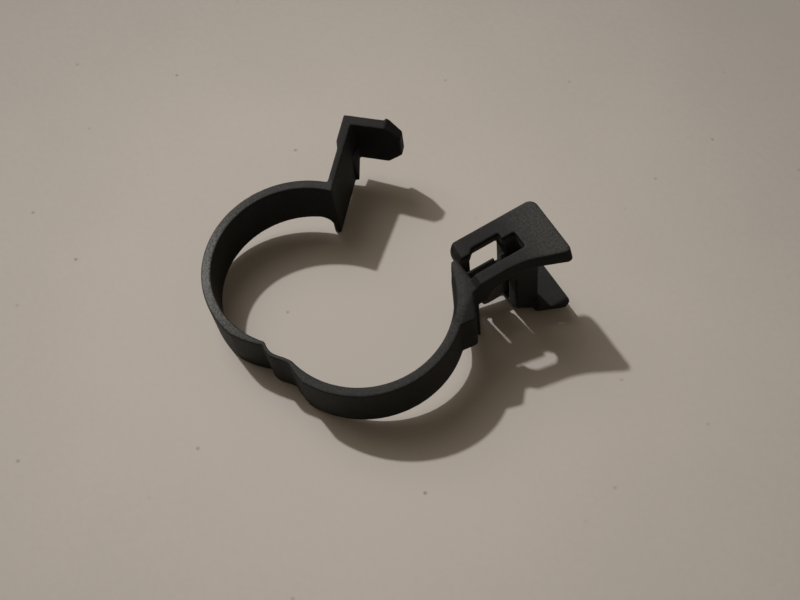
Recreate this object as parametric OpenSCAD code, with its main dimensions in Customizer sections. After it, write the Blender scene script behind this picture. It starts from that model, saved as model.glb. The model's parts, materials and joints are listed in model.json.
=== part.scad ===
// Hinged snap clip for a round pipe or hose, moulded in one piece of black plastic.
// Two half rings meet at a thin hinge web. The latch arm ends in a plate with a tongue,
// and the catch arm ends in a box that takes the plate between its two cheeks.
// Millimetres. Z is the pipe axis and z = 0 the middle of the bands' width. The origin is
// the pipe's centre in the catch arm. The latch arm stands open by open_angle.

/* [Pipe seat] */
// Radius of the pipe that the closed clip holds
bore_r = 14; // [9:0.5:40]
// Thickness of the curved bands
wall = 1.6; // [1:0.1:3]
// Width of the bands along the pipe
band_w = 9; // [6:0.5:11]

/* [Hinge] */
// Angle that the latch arm turns through from open to closed
open_angle = 47; // [10:1:60]
// Thickness of the hinge web
web_t = 0.7; // [0.4:0.1:1]
// Depth of the web's single sag towards the outside
web_sag = 0.65; // [0:0.05:0.8]
// Depth of the web's double wave
web_ripple = 0.2; // [0:0.05:0.5]

/* [Latch plate and tongue] */
// Distance of the plate's mating face past the pipe's centre line
seam_x = 1.7; // [1.2:0.1:3]
// Length of the plate outwards from the seat
plate_reach = 14.9; // [13:0.1:24]
// Height of the plate along the pipe, flush with one edge of the band
plate_h = 13.2; // [11:0.1:28]
// Thickness of the plate beside the band
plate_t = 1.1; // [0.8:0.1:1.4]
// Thickness of the plate's stronger outer half
head_t = 1.6; // [1:0.1:2]
// Length of the tongue from the plate's mating face to its tip
tongue_len = 8.2; // [7.5:0.1:12]
// Thickness of the tongue
tongue_t = 1.8; // [1.2:0.1:2]
// Height of the tongue along the pipe
tongue_h = 9.6; // [7:0.1:10.5]
// Cut of the tip's two corners
tip_cut = 2.5; // [1:0.1:3]
// Height of the snap barb on the tongue's outer face
barb_h = 0.45; // [0.2:0.05:0.8]

/* [Catch box] */
// Depth of the box behind the plate's mating face
box_depth = 6.3; // [5.8:0.1:7]
// Thickness of the upper cheek and of both wings
cheek_t = 2; // [1.2:0.1:3]
// Thickness of the lower cheek
low_cheek_t = 0.9; // [0.6:0.1:1.2]
// Free space between the latch and the box
clearance = 0.4; // [0.3:0.05:0.6]
// Thickness of the box's inner walls
rib_t = 0.9; // [0.7:0.1:1.1]
// Length of the finger wings past the box's outer wall
wing_len = 4.4; // [3:0.1:9]
// How far the wings flare past the box front
wing_flare = 2.3; // [1.6:0.1:4]
// Radius of the sweep that leads the box front into the wings
sweep_r = 10.5; // [8:0.5:30]

/* [Hidden] */
$fn = 64;
fine = 0.01;
over = 1;

// Pipe seat and bands
outer_r = bore_r + wall;
band_top = band_w / 2;
band_bot = -band_w / 2;
pivot_y = -(bore_r + 0.9 * wall);
plate_angle = acos(seam_x / bore_r);
plate_overlap = 10;
latch_root_len = 7.1;
latch_tip_len = 1.95;
catch_tip_len = 2.7;
catch_root_len = 6.1;
flare_len = 11.5;
latch_root_angle = 270 - seat_angle(latch_root_len);
latch_tip_angle = 270 - seat_angle(latch_tip_len);
catch_tip_angle = seat_angle(catch_tip_len) - 90;
catch_root_angle = seat_angle(catch_root_len) - 90;
flare_angle = 90 - seat_angle(flare_len);
web_steps = 16;

// Latch plate, in its closed place: y runs outwards along the plate
plate_in = sqrt(bore_r * bore_r - seam_x * seam_x);
plate_out = bore_r + plate_reach;
plate_bot = band_top - plate_h;
plate_back = seam_x - plate_t;
head_back = seam_x - head_t;
head_len = 6.7;
head_in = plate_out - head_len;
head_slope = 1.5;
tongue_out = plate_out;
tongue_in = plate_out - tongue_t;
tongue_bot = band_top - tongue_h;
tongue_tip = seam_x + tongue_len;
plate_cut = 2;
root_fillet = 1.6;
barb_len = 2.8;
barb_flat = 0.8;
gusset_out = 0.6;
gusset_w = 2.4;
gusset_up = 3.6;
gusset_run = 0.4;

// Catch box: x runs away from the plate, y outwards from the pipe
plate_gap = 0.3;
box_back = seam_x + plate_gap;
box_front = box_back + box_depth;
cheek_lap = 2;
cheek_back = seam_x - cheek_lap;
end_wall_t = 1;
end_wall_in = bore_r + 0.8;
end_wall_out = end_wall_in + end_wall_t;
cheek_in = bore_r + 1.4;
side_out = tongue_in - clearance;
side_in = side_out - rib_t;
wing_in = side_in;
wing_out = side_out + wing_len;
wing_round = 0.8;
upper_slant = 0.9;
lower_slant = 0.5;
top_in = band_top + clearance;
top_out = top_in + cheek_t;
low_in = plate_bot - clearance;
low_out = low_in - cheek_t;
end_lip = 1;
flange_len = 1.8;
flange_x1 = box_back + rib_t;
flange_y1 = end_wall_out + flange_len;
flare_drop = 2;
flare_relief = 0.4;
flare_corner = 2.6;
flare_r = 0.8;

// Cheeks: a window in the upper one, and the lead that lets the plate in between them
corner_r = 1.4;
back_rail_w = 2.45;
front_rail_w = 2;
window_lean = 0.8;
window_x0 = cheek_back + back_rail_w;
window_x1 = box_front - front_rail_w;
window_end = 0.4;
rib_tab = 0.4;
pocket_in = 1.3;
pocket_x0 = box_back + pocket_in;
pocket_y1 = side_in - window_end;
lead_x = 1.3;
lead_z = 1.5;
sweep_in = 5.1;
sweep_tilt = 38.7;
sweep_bite = 0.02;
sweep_y = wing_in - sweep_in;
sweep_run = sweep_in + cheek_t * tan(sweep_tilt);
sweep_out = sweep_offset(sweep_in);
sweep_low = sweep_offset(sweep_run);
bevel_in = 1.2;
bevel_out = 0.7;

// Cross rib, with the back wall of the pocket beside it
side_pocket = 2.1;
rib_out = side_in - side_pocket;
rib_in = rib_out - rib_t;
rib_w = 1.9;
rib_bevel = 0.6;
edge_slope = 1.6;
rib_x0 = seam_x + clearance;
rib_x1 = rib_x0 + rib_w;
pocket_wall_x = seam_x + gusset_out + clearance;

// Pawl: a flap between two slits in the box's inner wall
slit = 0.6;
pawl_t = 0.8;
pawl_back = 2.3;
pawl_x0 = box_back + pawl_back;
pawl_x1 = pawl_x0 + pawl_t;
pawl_top = top_in - 0.1;
pawl_bevel = 0.4;
pawl_bot = low_in + 1.4;
pawl_root = low_in + 8.6;
pawl_in = flange_y1 + slit;
pawl_out = rib_in - slit;
pawl_r = 1;
notch_w = 1;
notch_h = 1.2;
notch_y = pawl_out - 1.3;
notch_z = pawl_top - notch_h + notch_w / 2;
pawl_drop = pawl_bevel * edge_slope;
shelf_t = 0.8;
shelf_top = low_in + 1.8;
shelf_gap = 0.25;

// Front wall: an arch in front of the pawl, and the bridge beside it
bridge_t = 1.1;
arch_in = end_wall_out + 1.7;
arch_r = (rib_in - arch_in) / 2;
arch_z = pawl_root + 1.3;
brow_t = 0.5;
knee_w = 1.6;
knee_h = 1;
partition_x0 = box_back + 3.6;
partition_top = pawl_top - 2.3;

// Angle that a length takes up along the seat
function seat_angle(len) = len / bore_r * 180 / PI;

// How far the sweep comes forward at a distance run after its start
function sweep_offset(run) =
    sweep_r - sweep_bite - sqrt(sweep_r * sweep_r - pow(run * cos(sweep_tilt), 2));

// A point on a circle round the seat's axis
function on_ring(r, a) = [r * cos(a), r * sin(a)];

// A point of the closed latch arm, turned to its open place
function opened(p) = [
    cos(open_angle) * p[0] - sin(open_angle) * (p[1] - pivot_y),
    sin(open_angle) * p[0] + cos(open_angle) * (p[1] - pivot_y) + pivot_y];

// Turns the closed latch arm about the hinge to its open place
module swing_open() {
    translate([0, pivot_y, 0])
        rotate([0, 0, open_angle])
            translate([0, -pivot_y, 0])
                children();
}

// Part of a band, swept from angle a0 to a1
module band_arc(a0, a1) {
    rotate([0, 0, a0])
        rotate_extrude(angle = a1 - a0, $fn = 128)
            translate([bore_r, band_bot])
                square([wall, band_w]);
}

// Centre of the circle of radius r through p and q that lies to the left of the way to q
function circle_centre(p, q, r) =
    (p + q) / 2 + sqrt(r * r - norm(q - p) * norm(q - p) / 4) * [p[1] - q[1], q[0] - p[0]] / norm(q - p);

// End of a band that thins from its full wall at angle full_a to the web at thin_a. The
// outer face there is a second circle of the band's own radius.
module band_taper(full_a, thin_a) {
    full = on_ring(outer_r, full_a);
    thin = on_ring(bore_r + web_t, thin_a);
    centre = thin_a > full_a ? circle_centre(full, thin, outer_r) : circle_centre(thin, full, outer_r);
    intersection() {
        band_arc(min(full_a, thin_a), max(full_a, thin_a));
        translate([centre[0], centre[1], band_bot - over])
            cylinder(r = outer_r, h = band_w + 2 * over, $fn = 128);
    }
}

// Flat shape drawn in x and y, from height z0 to z1
module slab(z0, z1) {
    translate([0, 0, z0])
        linear_extrude(height = z1 - z0)
            children();
}

// Flat shape drawn in y and z, from x0 to x1
module wall_x(x0, x1) {
    translate([x0, 0, 0])
        rotate([90, 0, 90])
            linear_extrude(height = x1 - x0)
                children();
}

// Flat shape drawn in x and z, from y0 to y1
module wall_y(y0, y1) {
    translate([0, y1, 0])
        rotate([90, 0, 0])
            linear_extrude(height = y1 - y0)
                children();
}

// Flat rectangle between two corners
module area(x0, x1, y0, y1) {
    translate([x0, y0])
        square([x1 - x0, y1 - y0]);
}

// Waste of a corner that is rounded by radius r. The corner points along sx and sy.
module corner_waste(x, y, sx, sy, r) {
    translate([x, y])
        difference() {
            translate([min(0, -sx * r), min(0, -sy * r)])
                square(r);
            translate([-sx * r, -sy * r])
                circle(r = r, $fn = 48);
        }
}

// ---------- latch arm ----------

// Half ring, cut off flush with the plate's mating face
module latch_band() {
    color("#26272b")
        swing_open()
            intersection() {
                band_arc(plate_angle - plate_overlap, latch_root_angle);
                slab(band_bot - over, band_top + over)
                    area(-outer_r - over, seam_x, -outer_r - over, outer_r + over);
            }
}

module latch_root() {
    color("#26272b")
        swing_open()
            band_taper(latch_root_angle, latch_tip_angle);
}

// Thin inner half of the plate, which runs on below the band with a fillet
module latch_plate() {
    color("#26272b")
        swing_open()
            difference() {
                union() {
                    wall_x(plate_back, seam_x)
                        area(plate_in, head_in, plate_bot, band_top);
                    wall_y(plate_in, outer_r)
                        root_corner();
                }
                slab(band_bot, band_top + over)
                    circle(r = outer_r, $fn = 128);
            }
}

// Concave corner between the band's lower edge and the plate's back
module root_corner() {
    translate([plate_back - root_fillet, band_bot - root_fillet])
        difference() {
            square(root_fillet);
            circle(r = root_fillet);
        }
}

// Thicker outer half of the plate, with its lower corner cut off
module plate_head() {
    color("#26272b")
        swing_open()
            intersection() {
                slab(plate_bot, band_top)
                    polygon([[seam_x, head_in], [seam_x, plate_out], [head_back, plate_out],
                        [head_back, head_in + head_slope], [plate_back, head_in]]);
                wall_x(head_back - over, seam_x + over)
                    polygon([[head_in, band_top], [plate_out, band_top], [plate_out, tongue_bot],
                        [tongue_in, tongue_bot], [tongue_in - plate_cut, plate_bot],
                        [head_in, plate_bot]]);
            }
}

// Wedge in the corner between the plate's face and the tongue, down to the plate's cut edge
module plate_gusset() {
    color("#26272b")
        swing_open()
            hull() {
                wall_x(seam_x, seam_x + fine)
                    gusset_side(gusset_w, gusset_up);
                wall_x(seam_x, seam_x + gusset_out)
                    gusset_side(gusset_run, gusset_up - gusset_out);
            }
}

// The wedge's shape, width wide beside the tongue and reaching up above its lower edge
module gusset_side(width, up) {
    polygon([[tongue_in, tongue_bot + up], [tongue_in, tongue_bot], [tongue_in - plate_cut, plate_bot],
        [tongue_in - plate_cut - gusset_run, plate_bot], [tongue_in - width, tongue_bot],
        [tongue_in - width, tongue_bot + up]]);
}

// Side view of the tongue, with both corners of its tip cut for an easy start
module tongue_profile() {
    polygon([[seam_x, band_top], [tongue_tip - tip_cut, band_top],
        [tongue_tip, band_top - tip_cut], [tongue_tip, tongue_bot + tip_cut],
        [tongue_tip - tip_cut, tongue_bot], [seam_x, tongue_bot]]);
}

module latch_tongue() {
    color("#26272b")
        swing_open()
            wall_y(tongue_in, tongue_out)
                tongue_profile();
}

// Barb on the tongue's outer face, with a steep back and a long ramp to the tip
module tongue_barb() {
    barb_x = tongue_tip - barb_len;
    color("#26272b")
        swing_open()
            intersection() {
                slab(tongue_bot - over, band_top + over)
                    polygon([[barb_x, tongue_out], [barb_x, tongue_out + barb_h],
                        [barb_x + barb_flat, tongue_out + barb_h], [tongue_tip, tongue_out]]);
                wall_y(tongue_in, tongue_out + over)
                    tongue_profile();
            }
}

// ---------- living hinge ----------

web_a = opened(on_ring(bore_r, latch_tip_angle));
web_b = on_ring(bore_r, catch_tip_angle);
web_outwards = [web_b[1] - web_a[1], web_a[0] - web_b[0]] / norm(web_b - web_a);

// Point on the web's inner face at the share t of its length
function web_inner(t) = web_a + (web_b - web_a) * t
    + web_outwards * (web_sag * sin(180 * t) + web_ripple * sin(360 * t));

// Direction through the web, which turns from one arm's end face to the other's
function web_across(t) =
    on_ring(1, latch_tip_angle + open_angle + t * (catch_tip_angle + 360 - latch_tip_angle - open_angle));

// Thin wavy web that bends when the arms close
module hinge_web() {
    steps = [0 : 1 / web_steps : 1];
    inner = [for (t = steps) web_inner(t)];
    outer = [for (t = steps) web_inner(1 - t) + web_t * web_across(1 - t)];
    color("#1f2023")
        slab(band_bot, band_top)
            polygon(concat(inner, outer));
}

// ---------- catch arm ----------

module catch_root() {
    color("#26272b")
        band_taper(catch_root_angle, catch_tip_angle);
}

module catch_band() {
    color("#26272b")
        band_arc(catch_root_angle, flare_angle);
}

// Solid flare from the band's end up to the wider and taller box, hollowed by the pipe.
// Beside the bands' width it stands back from the pipe.
module catch_flare() {
    color("#26272b")
        difference() {
            hull() {
                rotate([0, 0, flare_angle])
                    translate([bore_r, 0, band_bot])
                        cube([wall, fine, band_w]);
                slab(low_in + flare_drop, top_in + end_lip)
                    area(box_back, box_front, end_wall_in - fine, end_wall_in);
                translate([box_front + flare_corner, end_wall_in - flare_drop, band_bot])
                    cylinder(r = flare_r, h = band_w, $fn = 32);
            }
            slab(low_in, top_in + end_lip + over)
                circle(r = bore_r, $fn = 128);
            slab(low_in, band_bot)
                circle(r = bore_r + flare_relief, $fn = 128);
            slab(band_top, top_in + end_lip + over)
                circle(r = bore_r + flare_relief, $fn = 128);
        }
}

// Inner end of the box: a lip above the cheek's underside, and a flange along the box's back
module end_wall() {
    color("#26272b")
        union() {
            slab(low_in, top_in)
                union() {
                    area(box_back, box_front, end_wall_in, end_wall_out);
                    area(box_back, flange_x1, end_wall_out, flange_y1);
                }
            slab(top_in - fine, top_in + end_lip)
                union() {
                    area(box_back, box_front, end_wall_in, cheek_in);
                    area(flange_x1, window_x1, end_wall_in, end_wall_out);
                }
        }
}

// Outline of a cheek, with its inner back corner rounded
module cheek_outline() {
    difference() {
        area(cheek_back, box_front, cheek_in, wing_in);
        corner_waste(cheek_back, cheek_in, -1, -1, corner_r);
    }
}

// Front of the upper cheek, swept forward to the wing. The sweep starts further in at the
// cheek's inner face than at its outer one.
module cheek_sweep() {
    difference() {
        wall_x(box_front, box_front + sweep_low + over)
            polygon([[sweep_y, top_out], [wing_in, top_out], [wing_in, top_in],
                [wing_in - sweep_run, top_in]]);
        translate([box_front + sweep_r - sweep_bite, sweep_y, top_out])
            rotate([-sweep_tilt, 0, 0])
                cylinder(r = sweep_r, h = 8 * cheek_t, center = true, $fn = 256);
    }
}

// Lead on the inner face of the upper cheek: the wedge cut off along its back edge
module plate_lead() {
    wall_y(cheek_in - over, wing_in + over)
        polygon([[cheek_back - over, top_in - over],
            [cheek_back + lead_x + over * lead_x / lead_z, top_in - over],
            [cheek_back - over, top_in + lead_z + over * lead_z / lead_x]]);
}

// Upper cheek: two rails round a long window, and a small pocket beside the cross rib
module upper_cheek() {
    color("#26272b")
        difference() {
            union() {
                slab(top_in, top_out)
                    difference() {
                        cheek_outline();
                        polygon([[window_x1, cheek_in - over], [window_x1, rib_in + rib_tab],
                            [window_x0, rib_in + rib_tab], [window_x0, flange_y1 + window_lean],
                            [flange_x1, flange_y1], [flange_x1, cheek_in - over]]);
                        area(pocket_x0, window_x1, rib_in + rib_tab - fine, pocket_y1);
                    }
                cheek_sweep();
            }
            plate_lead();
            wall_x(cheek_back - over, box_front + over)
                polygon([[cheek_in, top_in + end_lip], [cheek_in + end_lip, top_out],
                    [cheek_in + end_lip, top_out + over], [cheek_in - over, top_out + over],
                    [cheek_in - over, top_in + end_lip]]);
        }
}

// Lower cheek: a thin rail along the box's back, and a floor beside the pawl with its
// front corner cut off
module lower_cheek() {
    color("#26272b")
        slab(low_in - low_cheek_t, low_in)
            difference() {
                union() {
                    cheek_outline();
                    area(box_front, box_front + bevel_out, wing_in - bevel_in, wing_in);
                }
                area(window_x0, box_front + over, end_wall_out, rib_in);
                polygon([[box_front - bevel_in, rib_in], [box_front + bevel_out, wing_in - fine],
                    [box_front + bevel_out + over, wing_in - fine], [box_front + over, rib_in - over]]);
            }
}

// Outline of a wing, whose front edge runs from start to tip in front of the box
module wing_outline(start, tip) {
    hull() {
        area(cheek_back, box_front + start, wing_in, wing_in + fine);
        translate([cheek_back + corner_r, wing_out - corner_r])
            circle(r = corner_r, $fn = 32);
        translate([box_front + tip - wing_round, wing_out - wing_round])
            circle(r = wing_round, $fn = 32);
    }
}

// Wing from its inner face to its outer one. Its front edge slants back from the inner face.
module wing(inner_z, outer_z, slant) {
    skin = outer_z > inner_z ? fine : -fine;
    hull() {
        slab(min(inner_z, inner_z + skin), max(inner_z, inner_z + skin))
            wing_outline(sweep_low, wing_flare + upper_slant);
        slab(min(outer_z, outer_z - skin), max(outer_z, outer_z - skin))
            wing_outline(sweep_out, wing_flare + upper_slant - slant);
    }
}

module upper_wing() {
    color("#26272b")
        wing(top_in, top_out, upper_slant);
}

module lower_wing() {
    color("#26272b")
        wing(low_in, low_out, lower_slant);
}

// Post that joins the two cheeks, with the back wall of the pocket beside it
module cross_rib() {
    color("#26272b")
        union() {
            wall_y(rib_in, rib_out)
                polygon([[rib_x0, low_in], [rib_x0, top_in], [rib_x1 - rib_bevel, top_in],
                    [rib_x1, top_in - rib_bevel * edge_slope], [rib_x1, low_in]]);
            slab(low_in, top_in)
                area(pocket_wall_x, pocket_x0, rib_out, side_in);
        }
}

// Outer wall of the box, which the tongue slides along
module side_wall() {
    color("#26272b")
        slab(low_in, top_in)
            area(pocket_wall_x, box_front - bridge_t, side_in, side_out);
}

// Front wall: a thin arch in front of the pawl, and the bridge with its partition beside it
module front_bridge() {
    color("#26272b")
        union() {
            wall_x(box_front - brow_t, box_front)
                difference() {
                    area(end_wall_out, rib_in, arch_z, top_in);
                    translate([arch_in + arch_r, arch_z])
                        circle(r = arch_r);
                }
            wall_x(box_front - bridge_t, box_front)
                polygon([[rib_in, top_in], [side_out, top_in], [side_out, low_in],
                    [rib_in + knee_w, low_in], [rib_in, low_in + knee_h]]);
            wall_y(rib_in, rib_out)
                polygon([[pawl_x0, partition_top], [box_front - bridge_t, partition_top],
                    [box_front - bridge_t, low_in], [partition_x0, low_in], [partition_x0, pawl_root],
                    [pawl_x0, pawl_root]]);
        }
}

// Inner wall of the box, with the pawl hanging between two slits and a notch in its top
module catch_pawl() {
    color("#26272b")
        difference() {
            wall_x(pawl_x0, pawl_x1)
                difference() {
                    union() {
                        area(end_wall_out, flange_y1, pawl_bot, pawl_top);
                        area(end_wall_out, rib_in, pawl_root, pawl_top);
                        area(pawl_in, pawl_out, pawl_bot, pawl_top);
                    }
                    corner_waste(pawl_in, pawl_bot, -1, -1, pawl_r);
                    corner_waste(pawl_out, pawl_bot, 1, -1, pawl_r);
                    area(notch_y, notch_y + notch_w, notch_z, pawl_top + over);
                    translate([notch_y + notch_w / 2, notch_z])
                        circle(d = notch_w, $fn = 32);
                }
            wall_y(end_wall_out - over, rib_in + over)
                polygon([[pawl_x1 - pawl_bevel, pawl_top], [pawl_x1 - pawl_bevel, pawl_top + over],
                    [pawl_x1 + over, pawl_top + over], [pawl_x1 + over, pawl_top - pawl_drop],
                    [pawl_x1, pawl_top - pawl_drop]]);
        }
}

// Floor behind the pawl, from the end wall to the cross rib
module pawl_shelf() {
    color("#26272b")
        slab(shelf_top - shelf_t, shelf_top)
            difference() {
                area(box_back, pawl_x0 - shelf_gap, end_wall_out, rib_in);
                area(box_back - over, flange_x1, end_wall_out - over, flange_y1);
            }
}

latch_band();
latch_root();
latch_plate();
plate_head();
plate_gusset();
latch_tongue();
tongue_barb();
hinge_web();
catch_root();
catch_band();
catch_flare();
end_wall();
upper_cheek();
upper_wing();
lower_cheek();
lower_wing();
cross_rib();
side_wall();
front_bridge();
catch_pawl();
pawl_shelf();
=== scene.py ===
import json
import math

import bmesh
import bpy
import numpy as np
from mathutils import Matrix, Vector
from mathutils.bvhtree import BVHTree


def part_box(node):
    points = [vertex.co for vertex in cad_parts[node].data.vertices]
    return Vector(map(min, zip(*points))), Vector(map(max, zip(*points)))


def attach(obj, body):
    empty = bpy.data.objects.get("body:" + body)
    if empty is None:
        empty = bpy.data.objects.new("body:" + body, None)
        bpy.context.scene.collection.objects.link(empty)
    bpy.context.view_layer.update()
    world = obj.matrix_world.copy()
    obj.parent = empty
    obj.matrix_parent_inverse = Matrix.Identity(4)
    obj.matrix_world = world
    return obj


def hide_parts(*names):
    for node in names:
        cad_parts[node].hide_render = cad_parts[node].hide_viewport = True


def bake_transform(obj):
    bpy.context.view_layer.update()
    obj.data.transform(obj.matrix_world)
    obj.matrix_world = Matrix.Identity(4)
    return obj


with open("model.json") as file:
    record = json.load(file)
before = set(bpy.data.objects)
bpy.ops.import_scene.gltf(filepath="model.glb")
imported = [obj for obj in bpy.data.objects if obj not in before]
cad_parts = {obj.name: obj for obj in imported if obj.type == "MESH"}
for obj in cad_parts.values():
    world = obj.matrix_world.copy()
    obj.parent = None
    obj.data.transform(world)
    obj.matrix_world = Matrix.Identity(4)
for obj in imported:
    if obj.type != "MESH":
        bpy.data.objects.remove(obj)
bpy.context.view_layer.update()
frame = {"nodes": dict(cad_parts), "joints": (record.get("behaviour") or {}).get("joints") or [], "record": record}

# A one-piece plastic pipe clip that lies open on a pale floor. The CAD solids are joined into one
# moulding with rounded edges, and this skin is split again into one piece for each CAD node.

scene = bpy.context.scene
behaviour = frame["record"]["behaviour"]
hinge = frame["joints"][0]

# ---------- sizes and places of the clip, in millimetres ----------
MM = 0.001                                  # a millimetre, in Blender's metres
BORE = 14.0                                 # radius of the pipe's seat
WALL = 1.6                                  # the bands' thickness
OUTER = BORE + WALL
PIVOT_Y = hinge["pos_m"][1] / MM            # the hinge's axis goes through (0, PIVOT_Y)
OPEN = math.radians(hinge["range_deg"][1])  # how far the latch arm stands open at rest
CATCH_CENTRE = np.zeros(2)
LATCH_CENTRE = np.array((math.sin(OPEN) * PIVOT_Y, PIVOT_Y * (1 - math.cos(OPEN))))
CATCH_RING_X = 2.7                          # the catch arm is a plain ring to the right of this
CATCH_RING_Y = 12                           # and below this
LATCH_RING_X = -4.9                         # the latch arm is one to the left of this

# ---------- how the skin is made ----------
GROW = 0.012       # mm by which a solid grows, so that touching solids join
WELD = 1e-7        # m within which vertices of a solid are one
VOXEL = 0.12       # mm, grid of the skin
FACET = 0.03       # mm by which a ring's facets can lie off its circle
RING_EDGE = 0.1    # mm outside the latch arm's ring within which a vertex can be on it
ROUNDING = 11      # passes that round the edges
FACES = 150000     # triangles that are kept
SETTLING = 6       # passes that even out the borders between pieces

# ---------- wear, dust, polish, painted sheen and painted lift, as places in millimetres and shares of the full effect ---
SHARP = 0.03                   # height of a vertex over its neighbours on a fully worn edge
WORN_PASSES = 3                # passes that widen the worn edges
BAND_POLISH_AND_SHEEN = 0.3              # polish, and painted sheen, that handling gives the bands
BAND_FADE = (17.5, 15.5)       # distance from the ring's centre, from none to all of it
WING_POLISH_AND_SHEEN = 0.4              # the same for the upper wing
WING_FADE = (20, 28)           # y
WING_X = -5                    # the wing is to the right of this
HELD_POLISH_AND_SHEEN = 0.56             # the same round the place where the clip is held the most
HELD = (-17.8, -18.0)          # x and y of that place
HELD_WIDTH = 11                # distance at which that polish has fallen to about a third
LIFT_DEPTH = (0.5, 0.9)        # depth inside the box, from no painted lift to the full lift
LIFT_TILT = (0.7, 0.3)         # height of a normal, from no painted lift to the full lift, which walls and undersides get
BOX_X = -1                     # the box is to the right of this
EDGE_PALING = 0.6              # how far worn edges go to the worn colour
SPECK_PALING = 0.14            # how far specks of dust go to the grey of dust and painted lift
PAINTED_LIFT_PALING = 0.65             # how far the painted lift, which stands in for light inside the box, goes to that grey
POLISH_DROP = 0.26             # roughness that the full polish takes away
SHEEN_LEAST = 0.04               # how far a face that looks up goes to the painted sheen, where nothing polishes it

# ---------- colours ----------
BLACK = (0.0028, 0.0029, 0.0027, 1)
DARK_GREY = (0.0118, 0.012, 0.0114, 1)
WORN = (0.032, 0.032, 0.031, 1)
# the grey of specks of dust, and of the painted lift that stands in for light inside the box
DUST_AND_LIFT_GREY = (0.10, 0.098, 0.092, 1)
# painted sheen, a lighter grey on faces that look up, most where they are polished
SHEEN_GREY = (0.085, 0.085, 0.080, 1)
# painted light on the floor: dimmer far from the clip, brighter round it
FLOOR_PAINTED_DIM = (0.27, 0.25, 0.23, 1)
FLOOR_PAINTED_BRIGHT = (0.412, 0.376, 0.342, 1)
FLOOR_SPECK = (0.16, 0.14, 0.12, 1)
WHITE = (1, 1, 1)
WARM = (1, 0.92, 0.82)
ROOM = (1.0, 0.84, 0.64, 1)

# ---------- camera, floor and light, in metres ----------
LENS = 56.39                                        # mm
SENSOR = 36                                         # mm
NEAREST = 0.005                                     # nothing nearer than this is rendered
CAMERA_PLACE = (0.08610773, -0.02761100, 0.17326334)
CAMERA_TURN = (27.57714, 4.78433, 59.5)             # degrees
FLOOR_SIZE = 3
FLOOR_PLACE = (0, 0, -0.00744)
FLOOR_UP = Vector((-0.017, 0.1655, 1)).normalized()  # the clip lies tilted, on a band and its box
LIGHT = Vector((0.755, 0.098, -1)).normalized()      # the way that both lamps shine
ROOM_STRENGTH = 0.185


# ---------- meshes ----------
def rising(values, start, end):
    """From 0 at start to 1 at end, and level beyond them."""
    return np.clip((values - start) / (end - start), 0, 1)


def coordinates(mesh):
    """The places of a mesh's vertices, one in each row."""
    co = np.empty(len(mesh.vertices) * 3)
    mesh.vertices.foreach_get("co", co)
    return co.reshape(-1, 3)


def normals(mesh):
    """The normals of a mesh's vertices, one in each row."""
    vectors = np.empty(len(mesh.vertices) * 3)
    mesh.vertex_normals.foreach_get("vector", vectors)
    return vectors.reshape(-1, 3)


def edge_ends(mesh):
    """The two vertices of each of a mesh's edges."""
    ends = np.empty(len(mesh.edges) * 2, int)
    mesh.edges.foreach_get("vertices", ends)
    return ends.reshape(-1, 2)


def neighbour_mean(values, ends):
    """For each vertex, the mean of its neighbours' rows of values."""
    count = len(values)
    a, b = ends.T
    columns = [np.bincount(a, column[b], count) + np.bincount(b, column[a], count)
               for column in values.T]
    neighbours = np.bincount(a, minlength=count) + np.bincount(b, minlength=count)
    return np.stack(columns, axis=1) / neighbours[:, None]


def applied(piece):
    """The piece's mesh with its modifiers applied, which are then gone."""
    depsgraph = bpy.context.evaluated_depsgraph_get()
    piece.data = bpy.data.meshes.new_from_object(piece.evaluated_get(depsgraph))
    piece.modifiers.clear()
    return piece.data


# ---------- one rounded moulding, made from all the solids ----------
def solid_copy(name):
    """A copy of a CAD solid in millimetres, grown a little so that it overlaps its neighbours."""
    mesh = frame["nodes"][name].data.copy()
    bm = bmesh.new()
    bm.from_mesh(mesh)
    bmesh.ops.remove_doubles(bm, verts=bm.verts, dist=WELD)
    bm.normal_update()
    for vertex in bm.verts:
        vertex.co = vertex.co / MM + vertex.normal * GROW
    bm.to_mesh(mesh)
    bm.free()
    piece = bpy.data.objects.new("solid_" + name, mesh)
    scene.collection.objects.link(piece)
    return piece


def joined(names):
    """All the solids as one closed object."""
    whole, *others = [solid_copy(name) for name in names]
    for other in others:
        union = whole.modifiers.new("union", "BOOLEAN")
        union.operation = "UNION"
        union.solver = "MANIFOLD"
        union.object = other
        applied(whole)
    for other in others:
        bpy.data.objects.remove(other)
    return whole


def to_circle(co, centre, radius, on_ring):
    """Moves the vertices of a faceted ring onto its true circle."""
    flat = co[:, :2] - centre
    distance = np.linalg.norm(flat, axis=1)
    near = (np.abs(distance - radius) < FACET) & on_ring
    co[near, :2] = centre + flat[near] * (radius / distance[near])[:, None]


def rounded(whole):
    """The joined solids' skin, as an even mesh with true rings and rounded edges."""
    remesh = whole.modifiers.new("remesh", "REMESH")
    remesh.mode = "VOXEL"
    remesh.voxel_size = VOXEL
    mesh = applied(whole)
    co = coordinates(mesh)
    ends = edge_ends(mesh)
    from_latch = np.linalg.norm(co[:, :2] - LATCH_CENTRE, axis=1)
    on_catch = (co[:, 0] > CATCH_RING_X) & (co[:, 1] < CATCH_RING_Y)
    on_latch = (co[:, 0] < LATCH_RING_X) & (from_latch < OUTER + RING_EDGE)
    for radius in (BORE, OUTER):
        to_circle(co, CATCH_CENTRE, radius, on_catch)
        to_circle(co, LATCH_CENTRE, radius, on_latch)
    for _ in range(ROUNDING):
        co += (neighbour_mean(co, ends) - co) / 2
    mesh.vertices.foreach_set("co", co.ravel())
    mesh.update()
    triangles = 2 * len(mesh.polygons)
    fewer = whole.modifiers.new("fewer", "DECIMATE")
    fewer.ratio = FACES / triangles
    mesh = applied(whole)
    bpy.data.objects.remove(whole)
    return mesh


skin = rounded(joined(list(frame["nodes"])))
skin_co = coordinates(skin)
skin_ends = edge_ends(skin)
skin_normals = normals(skin)
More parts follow.
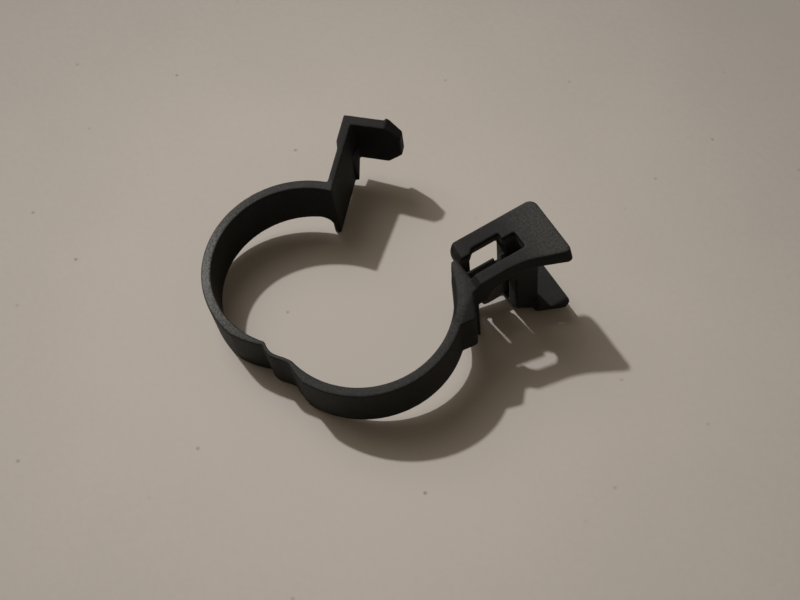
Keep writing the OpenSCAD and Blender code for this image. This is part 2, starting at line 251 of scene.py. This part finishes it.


# ---------- where the skin is worn, polished and painted with sheen, or lifted with painted light ---
def worn_edges():
    """How strongly the skin turns outwards, or inwards below 0."""
    sunk = neighbour_mean(skin_co, skin_ends) - skin_co
    bulge = -np.einsum("ij,ij->i", sunk, skin_normals)
    bulge = np.clip(bulge / SHARP, -1, 1)[:, None]
    for _ in range(WORN_PASSES):
        bulge = (bulge + neighbour_mean(bulge, skin_ends)) / 2
    return bulge[:, 0]


def polish_and_sheen():
    """The polish from handling, on the bands, on the upper wing and where the clip is held; it also sets where
    painted sheen lightens faces that look up.
    """
    x, y, z = skin_co.T
    flat = skin_co[:, :2]
    reach = np.minimum(np.linalg.norm(flat - CATCH_CENTRE, axis=1),
                       np.linalg.norm(flat - LATCH_CENTRE, axis=1))
    polish_and_sheen_amount = BAND_POLISH_AND_SHEEN * rising(reach, *BAND_FADE)
    polish_and_sheen_amount += WING_POLISH_AND_SHEEN * rising(y, *WING_FADE) * (z > 0) * (x > WING_X)
    polish_and_sheen_amount += HELD_POLISH_AND_SHEEN * np.exp(-(np.linalg.norm(flat - HELD, axis=1) / HELD_WIDTH) ** 2)
    return np.clip(polish_and_sheen_amount, 0, 1)


def painted_lift_inside():
    """Where the skin is lightened by painted light: inside the box, behind its walls and below the cheek's top
    face, most on walls and undersides.
    """
    x, y, z = skin_co.T
    wall_low, wall_high = (np.array(corner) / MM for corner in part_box("end_wall"))
    side_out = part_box("side_wall")[1].y / MM
    cheek_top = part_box("upper_cheek")[1].z / MM
    depth = np.min([wall_high[0] - x, y - wall_low[1], side_out - y, cheek_top - z], axis=0)
    return rising(depth, *LIFT_DEPTH) * rising(skin_normals[:, 2], *LIFT_TILT) * (x > BOX_X)


# ---------- the moulding split into its named pieces again ----------
def owners(names):
    """For each face of the skin, the number in names of the CAD node that it lies on."""
    points, faces, numbers = [], [], []
    for number, name in enumerate(names):
        start = len(points)
        solid = frame["nodes"][name].data
        points += [vertex.co / MM for vertex in solid.vertices]
        faces += [[start + i for i in face.vertices] for face in solid.polygons]
        numbers += [number] * len(solid.polygons)
    tree = BVHTree.FromPolygons(points, faces)
    return np.array([numbers[tree.find_nearest(face.center)[2]] for face in skin.polygons])


def settled(owner, names):
    """The owners again, with each stray face given to the piece that most of its neighbours are on."""
    edge = np.empty(len(skin.loops), int)
    skin.loops.foreach_get("edge_index", edge)
    sides = np.empty(len(skin.polygons), int)
    skin.polygons.foreach_get("loop_total", sides)
    face = np.repeat(np.arange(len(sides)), sides)
    order = np.argsort(edge, kind="stable")
    shared = edge[order[:-1]] == edge[order[1:]]
    one, other = face[order[:-1][shared]], face[order[1:][shared]]
    for _ in range(SETTLING):
        votes = np.zeros((len(sides), len(names)), int)
        np.add.at(votes, (one, owner[other]), 1)
        np.add.at(votes, (other, owner[one]), 1)
        owner = np.where(votes.max(axis=1) > sides / 2, votes.argmax(axis=1), owner)
    return owner


def piece_from(name, face_ids, attributes, material):
    """The named part of the skin as an object of its own, with the whole skin's normals."""
    corners = [list(skin.polygons[i].vertices) for i in face_ids]
    used = sorted({vertex for face in corners for vertex in face})
    place = {vertex: i for i, vertex in enumerate(used)}
    mesh = bpy.data.meshes.new(name + "_skin")
    mesh.from_pydata([tuple(skin_co[vertex] * MM) for vertex in used], [],
                     [[place[vertex] for vertex in face] for face in corners])
    mesh.shade_smooth()
    for key, values in attributes.items():
        attribute = mesh.attributes.new(key, "FLOAT", "POINT")
        attribute.data.foreach_set("value", values[used].astype(np.float32))
    mesh.normals_split_custom_set_from_vertices([tuple(skin_normals[vertex]) for vertex in used])
    mesh.materials.append(material)
    piece = bpy.data.objects.new(name + "_skin", mesh)
    scene.collection.objects.link(piece)
    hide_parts(name)
    return piece


def split(names, material):
    """Every piece of the skin, on its body. The web is put on neither body, with its place baked into its mesh."""
    body = {node: name for name, nodes in behaviour["bodies"].items() for node in nodes}
    attributes = {"edge": worn_edges(), "polish_and_sheen": polish_and_sheen(), "painted_lift_inside": painted_lift_inside()}
    owner = settled(owners(names), names)
    for number, name in enumerate(names):
        face_ids = np.flatnonzero(owner == number).tolist()
        piece = piece_from(name, face_ids, attributes, material)
        if name == "hinge_web":
            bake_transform(piece)
        else:
            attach(piece, body[name])


# ---------- materials ----------
class Surface:
    """A material, with a short way to add each kind of shader node that it is made of."""

    def __init__(self, name):
        self.material = bpy.data.materials.new(name)
        self.material.use_nodes = True
        self.nodes = self.material.node_tree.nodes
        self.links = self.material.node_tree.links
        self.shader = self.nodes["Principled BSDF"]
        self.place = self.nodes.new("ShaderNodeTexCoord").outputs["Object"]

    def feed(self, socket, value):
        """Gives a socket a number or colour, or links another node's output to it."""
        if isinstance(value, bpy.types.NodeSocket):
            self.links.new(value, socket)
        else:
            socket.default_value = value

    def node(self, kind, **inputs):
        """A new node of a kind, with its inputs fed by their names, in which _ stands for a space."""
        node = self.nodes.new("ShaderNode" + kind)
        for name, value in inputs.items():
            self.feed(node.inputs[name.replace("_", " ")], value)
        return node

    def noise(self, scale, detail, roughness=0.5, vector=None):
        """A noise texture's values, round about 0.5."""
        texture = self.node("TexNoise", Scale=scale, Detail=detail, Roughness=roughness,
                            Vector=vector or self.place)
        return texture.outputs["Fac"]

    def mapped(self, scale, turn=0):
        """Object coordinates, turned about Z and scaled."""
        return self.node("Mapping", Vector=self.place, Scale=scale, Rotation=(0, 0, turn)).outputs["Vector"]

    def attribute(self, name):
        """The values that the mesh carries under a name."""
        node = self.node("Attribute")
        node.attribute_name = name
        return node.outputs["Fac"]

    def ranged(self, value, given, wanted):
        """The value, with the given range taken to the wanted one and held at its ends."""
        node = self.node("MapRange", Value=value, From_Min=given[0], From_Max=given[1],
                         To_Min=wanted[0], To_Max=wanted[1])
        return node.outputs["Result"]

    def maths(self, operation, a, b):
        """The result of an operation, such as ADD, on two values."""
        node = self.node("Math")
        node.operation = operation
        self.feed(node.inputs[0], a)
        self.feed(node.inputs[1], b)
        return node.outputs[0]

    def times(self, a, b):
        return self.maths("MULTIPLY", a, b)

    def plus(self, a, b):
        return self.maths("ADD", a, b)

    def mixed(self, factor, under, over):
        """The colour under, with the factor's share of the colour over."""
        node = self.node("Mix")
        node.data_type = "RGBA"
        for name, value in (("Factor", factor), ("A", under), ("B", over)):
            self.feed(node.inputs[name], value)
        return node.outputs["Result"]

    def ramp(self, value, places, colours, interpolation="LINEAR"):
        """A colour that goes from the first to the second between two places."""
        node = self.node("ValToRGB", Fac=value)
        node.color_ramp.interpolation = interpolation
        for element, place, colour in zip(node.color_ramp.elements, places, colours):
            element.position = place
            element.color = colour
        return node.outputs["Color"]


def plastic():
    """Black moulded plastic: satin, with flow marks, fine grain, dust and paler worn edges, painted sheen on faces
    that look up and painted light inside the box.
    """
    s = Surface("black_plastic")
    grain = s.noise(scale=3600, detail=3, roughness=0.6)
    along = s.mapped(scale=(1, 0.35, 1), turn=math.radians(20))
    marks = s.noise(scale=900, detail=4, roughness=0.6, vector=along)
    clouds = s.noise(scale=260, detail=3, roughness=0.55)
    specks = s.noise(scale=2600, detail=1, roughness=0.4)
    polish_and_sheen_values = s.attribute("polish_and_sheen")

    tone = s.plus(s.times(marks, 0.6), s.times(clouds, 0.4))
    colour = s.ramp(tone, places=(0.36, 0.66), colours=(BLACK, DARK_GREY))

    worn = s.times(s.ranged(s.attribute("edge"), (0.1, 0.7), (0, 1)),
                   s.ranged(marks, (0.35, 0.65), (0.3, 1)))
    colour = s.mixed(s.times(worn, EDGE_PALING), under=colour, over=WORN)

    # specks of dust, and painted light that lifts the shade inside the box
    dust_and_lift = s.maths("MAXIMUM", s.times(s.ranged(specks, (0.69, 0.74), (0, 1)), SPECK_PALING),
                   s.times(s.attribute("painted_lift_inside"), PAINTED_LIFT_PALING))
    colour = s.mixed(dust_and_lift, under=colour, over=DUST_AND_LIFT_GREY)

    # painted sheen: faces that look up go lighter, most where they are polished
    facing = s.node("SeparateXYZ", Vector=s.node("NewGeometry").outputs["Normal"])
    painted_sheen = s.times(s.ranged(facing.outputs["Z"], (0.7, 0.98), (0, 1)),
                     s.ranged(polish_and_sheen_values, (0.2, 1), (SHEEN_LEAST, 1)))
    painted_sheen = s.times(painted_sheen, s.ranged(grain, (0.35, 0.68), (0.1, 1.7)))
    colour = s.mixed(painted_sheen, under=colour, over=SHEEN_GREY)

    satin = s.ranged(tone, (0.36, 0.64), (0.69, 0.79))
    satin = s.maths("SUBTRACT", satin, s.times(polish_and_sheen_values, POLISH_DROP))
    relief = s.plus(s.times(grain, 0.6), s.plus(s.times(marks, 0.55), s.times(clouds, 1.6)))
    bump = s.node("Bump", Strength=0.5, Distance=0.00009, Height=relief)
    s.feed(s.shader.inputs["Base Color"], colour)
    s.feed(s.shader.inputs["Roughness"], satin)
    s.feed(s.shader.inputs["Specular IOR Level"], 0.2)
    s.feed(s.shader.inputs["Normal"], bump.outputs["Normal"])
    return s.material


def pale_floor():
    """A matt pale sheet with a painted pool of light, brightest round the clip, and a faint mottle and a few
    specks.
    """
    s = Surface("pale_floor")
    # a painted pool of light round the clip
    painted_light_pool = s.node("TexGradient", Vector=s.mapped(scale=(7.5, 7.5, 7.5)))
    painted_light_pool.gradient_type = "SPHERICAL"
    painted_pool_and_mottle = s.plus(s.times(painted_light_pool.outputs["Fac"], 0.75), s.times(s.noise(scale=30, detail=4), 0.15))
    painted_pool_and_mottle = s.plus(painted_pool_and_mottle, s.times(s.noise(scale=900, detail=3), 0.1))
    colour = s.ramp(painted_pool_and_mottle, places=(0.15, 0.8), colours=(FLOOR_PAINTED_DIM, FLOOR_PAINTED_BRIGHT), interpolation="EASE")

    cells = s.node("TexVoronoi", Vector=s.place, Scale=75)
    cells.voronoi_dimensions = "2D"
    chance = s.node("SeparateColor", Color=cells.outputs["Color"]).outputs["Red"]
    speck = s.times(s.ranged(cells.outputs["Distance"], (0.012, 0.03), (1, 0)),
                    s.ranged(chance, (0.62, 1), (0, 0.7)))
    s.feed(s.shader.inputs["Base Color"], s.mixed(speck, under=colour, over=FLOOR_SPECK))
    s.feed(s.shader.inputs["Roughness"], 0.85)
    return s.material


# ---------- the scene ----------
def photograph_camera():
    """The camera at the photograph's view."""
    data = bpy.data.cameras.new("camera")
    data.lens = LENS
    data.sensor_width = SENSOR
    data.clip_start = NEAREST
    camera = bpy.data.objects.new("camera", data)
    camera.location = CAMERA_PLACE
    camera.rotation_euler = [math.radians(angle) for angle in CAMERA_TURN]
    scene.collection.objects.link(camera)
    return camera


def lay_floor():
    """The floor, at the tilt at which the clip lies on it."""
    bpy.ops.mesh.primitive_plane_add(size=FLOOR_SIZE)
    floor = bpy.context.object
    floor.name = "floor"
    floor.rotation_euler = FLOOR_UP.to_track_quat("Z", "Y").to_euler()
    floor.location = FLOOR_PLACE
    floor.data.materials.append(pale_floor())


def lamp(name, size, distance, watts, colour):
    """A round lamp that shines along LIGHT at the clip."""
    data = bpy.data.lights.new(name, "AREA")
    data.shape = "DISK"
    data.size = size
    data.energy = watts
    data.color = colour
    piece = bpy.data.objects.new(name, data)
    piece.location = LIGHT * -distance
    piece.rotation_euler = LIGHT.to_track_quat("-Z", "Y").to_euler()
    scene.collection.objects.link(piece)


def dim_room():
    """The weak light that comes from all round."""
    room = bpy.data.worlds.new("surround")
    room.use_nodes = True
    background = room.node_tree.nodes["Background"]
    background.inputs["Color"].default_value = ROOM
    background.inputs["Strength"].default_value = ROOM_STRENGTH
    return room


split(list(frame["nodes"]), plastic())
lay_floor()
lamp("key", size=0.055, distance=1.5, watts=17, colour=WHITE)
lamp("soft", size=0.8, distance=1.1, watts=3.9, colour=WARM)
scene.world = dim_room()
scene.camera = photograph_camera()
scene.view_settings.view_transform = "Standard"
